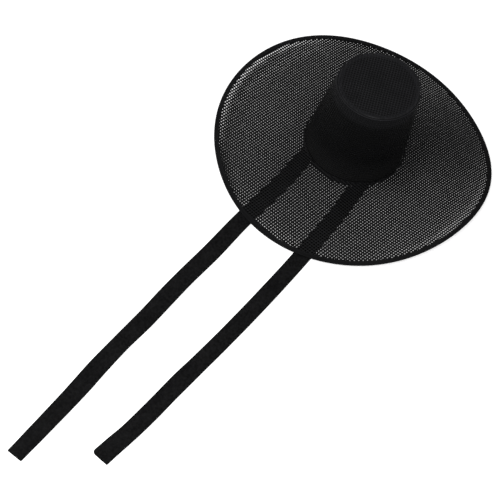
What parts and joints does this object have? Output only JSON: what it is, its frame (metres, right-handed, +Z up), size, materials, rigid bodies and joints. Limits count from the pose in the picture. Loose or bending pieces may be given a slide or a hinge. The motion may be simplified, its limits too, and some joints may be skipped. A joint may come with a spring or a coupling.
{
  "type": "korean gat",
  "caption": "Black wide-brimmed gat: tapered flat-topped crown, see-through netting brim with bound edge, and flat ribbon ties laid out in front.",
  "frame": {"origin": "bottom centre of the hat's box, without the ties: on the surface it stands on, under the crown", "axes": "+Z up through the crown, the ties run towards -Y, +X is to the right seen from the ties"},
  "size_m": [0.4445, 0.9395, 0.1714],
  "materials": {
    "crown_cloth": "fine black netting over a dense dark lining, faint sheen",
    "headband_cloth": "matt black cotton band",
    "brim_netting": "stiff black see-through netting",
    "binding_tape": "folded black tape over a wire, stitched",
    "ribbon": "flat matt black ribbon with fine cross ribs and firm edges"
  },
  "bodies": {
    "root": {"crown_side": "crown_cloth", "crown_top": "crown_cloth", "crown_top_piping": "binding_tape", "headband": "headband_cloth", "brim": "brim_netting", "brim_binding": "binding_tape", "tie_left": "ribbon", "tie_right": "ribbon"}
  },
  "joints": []
}
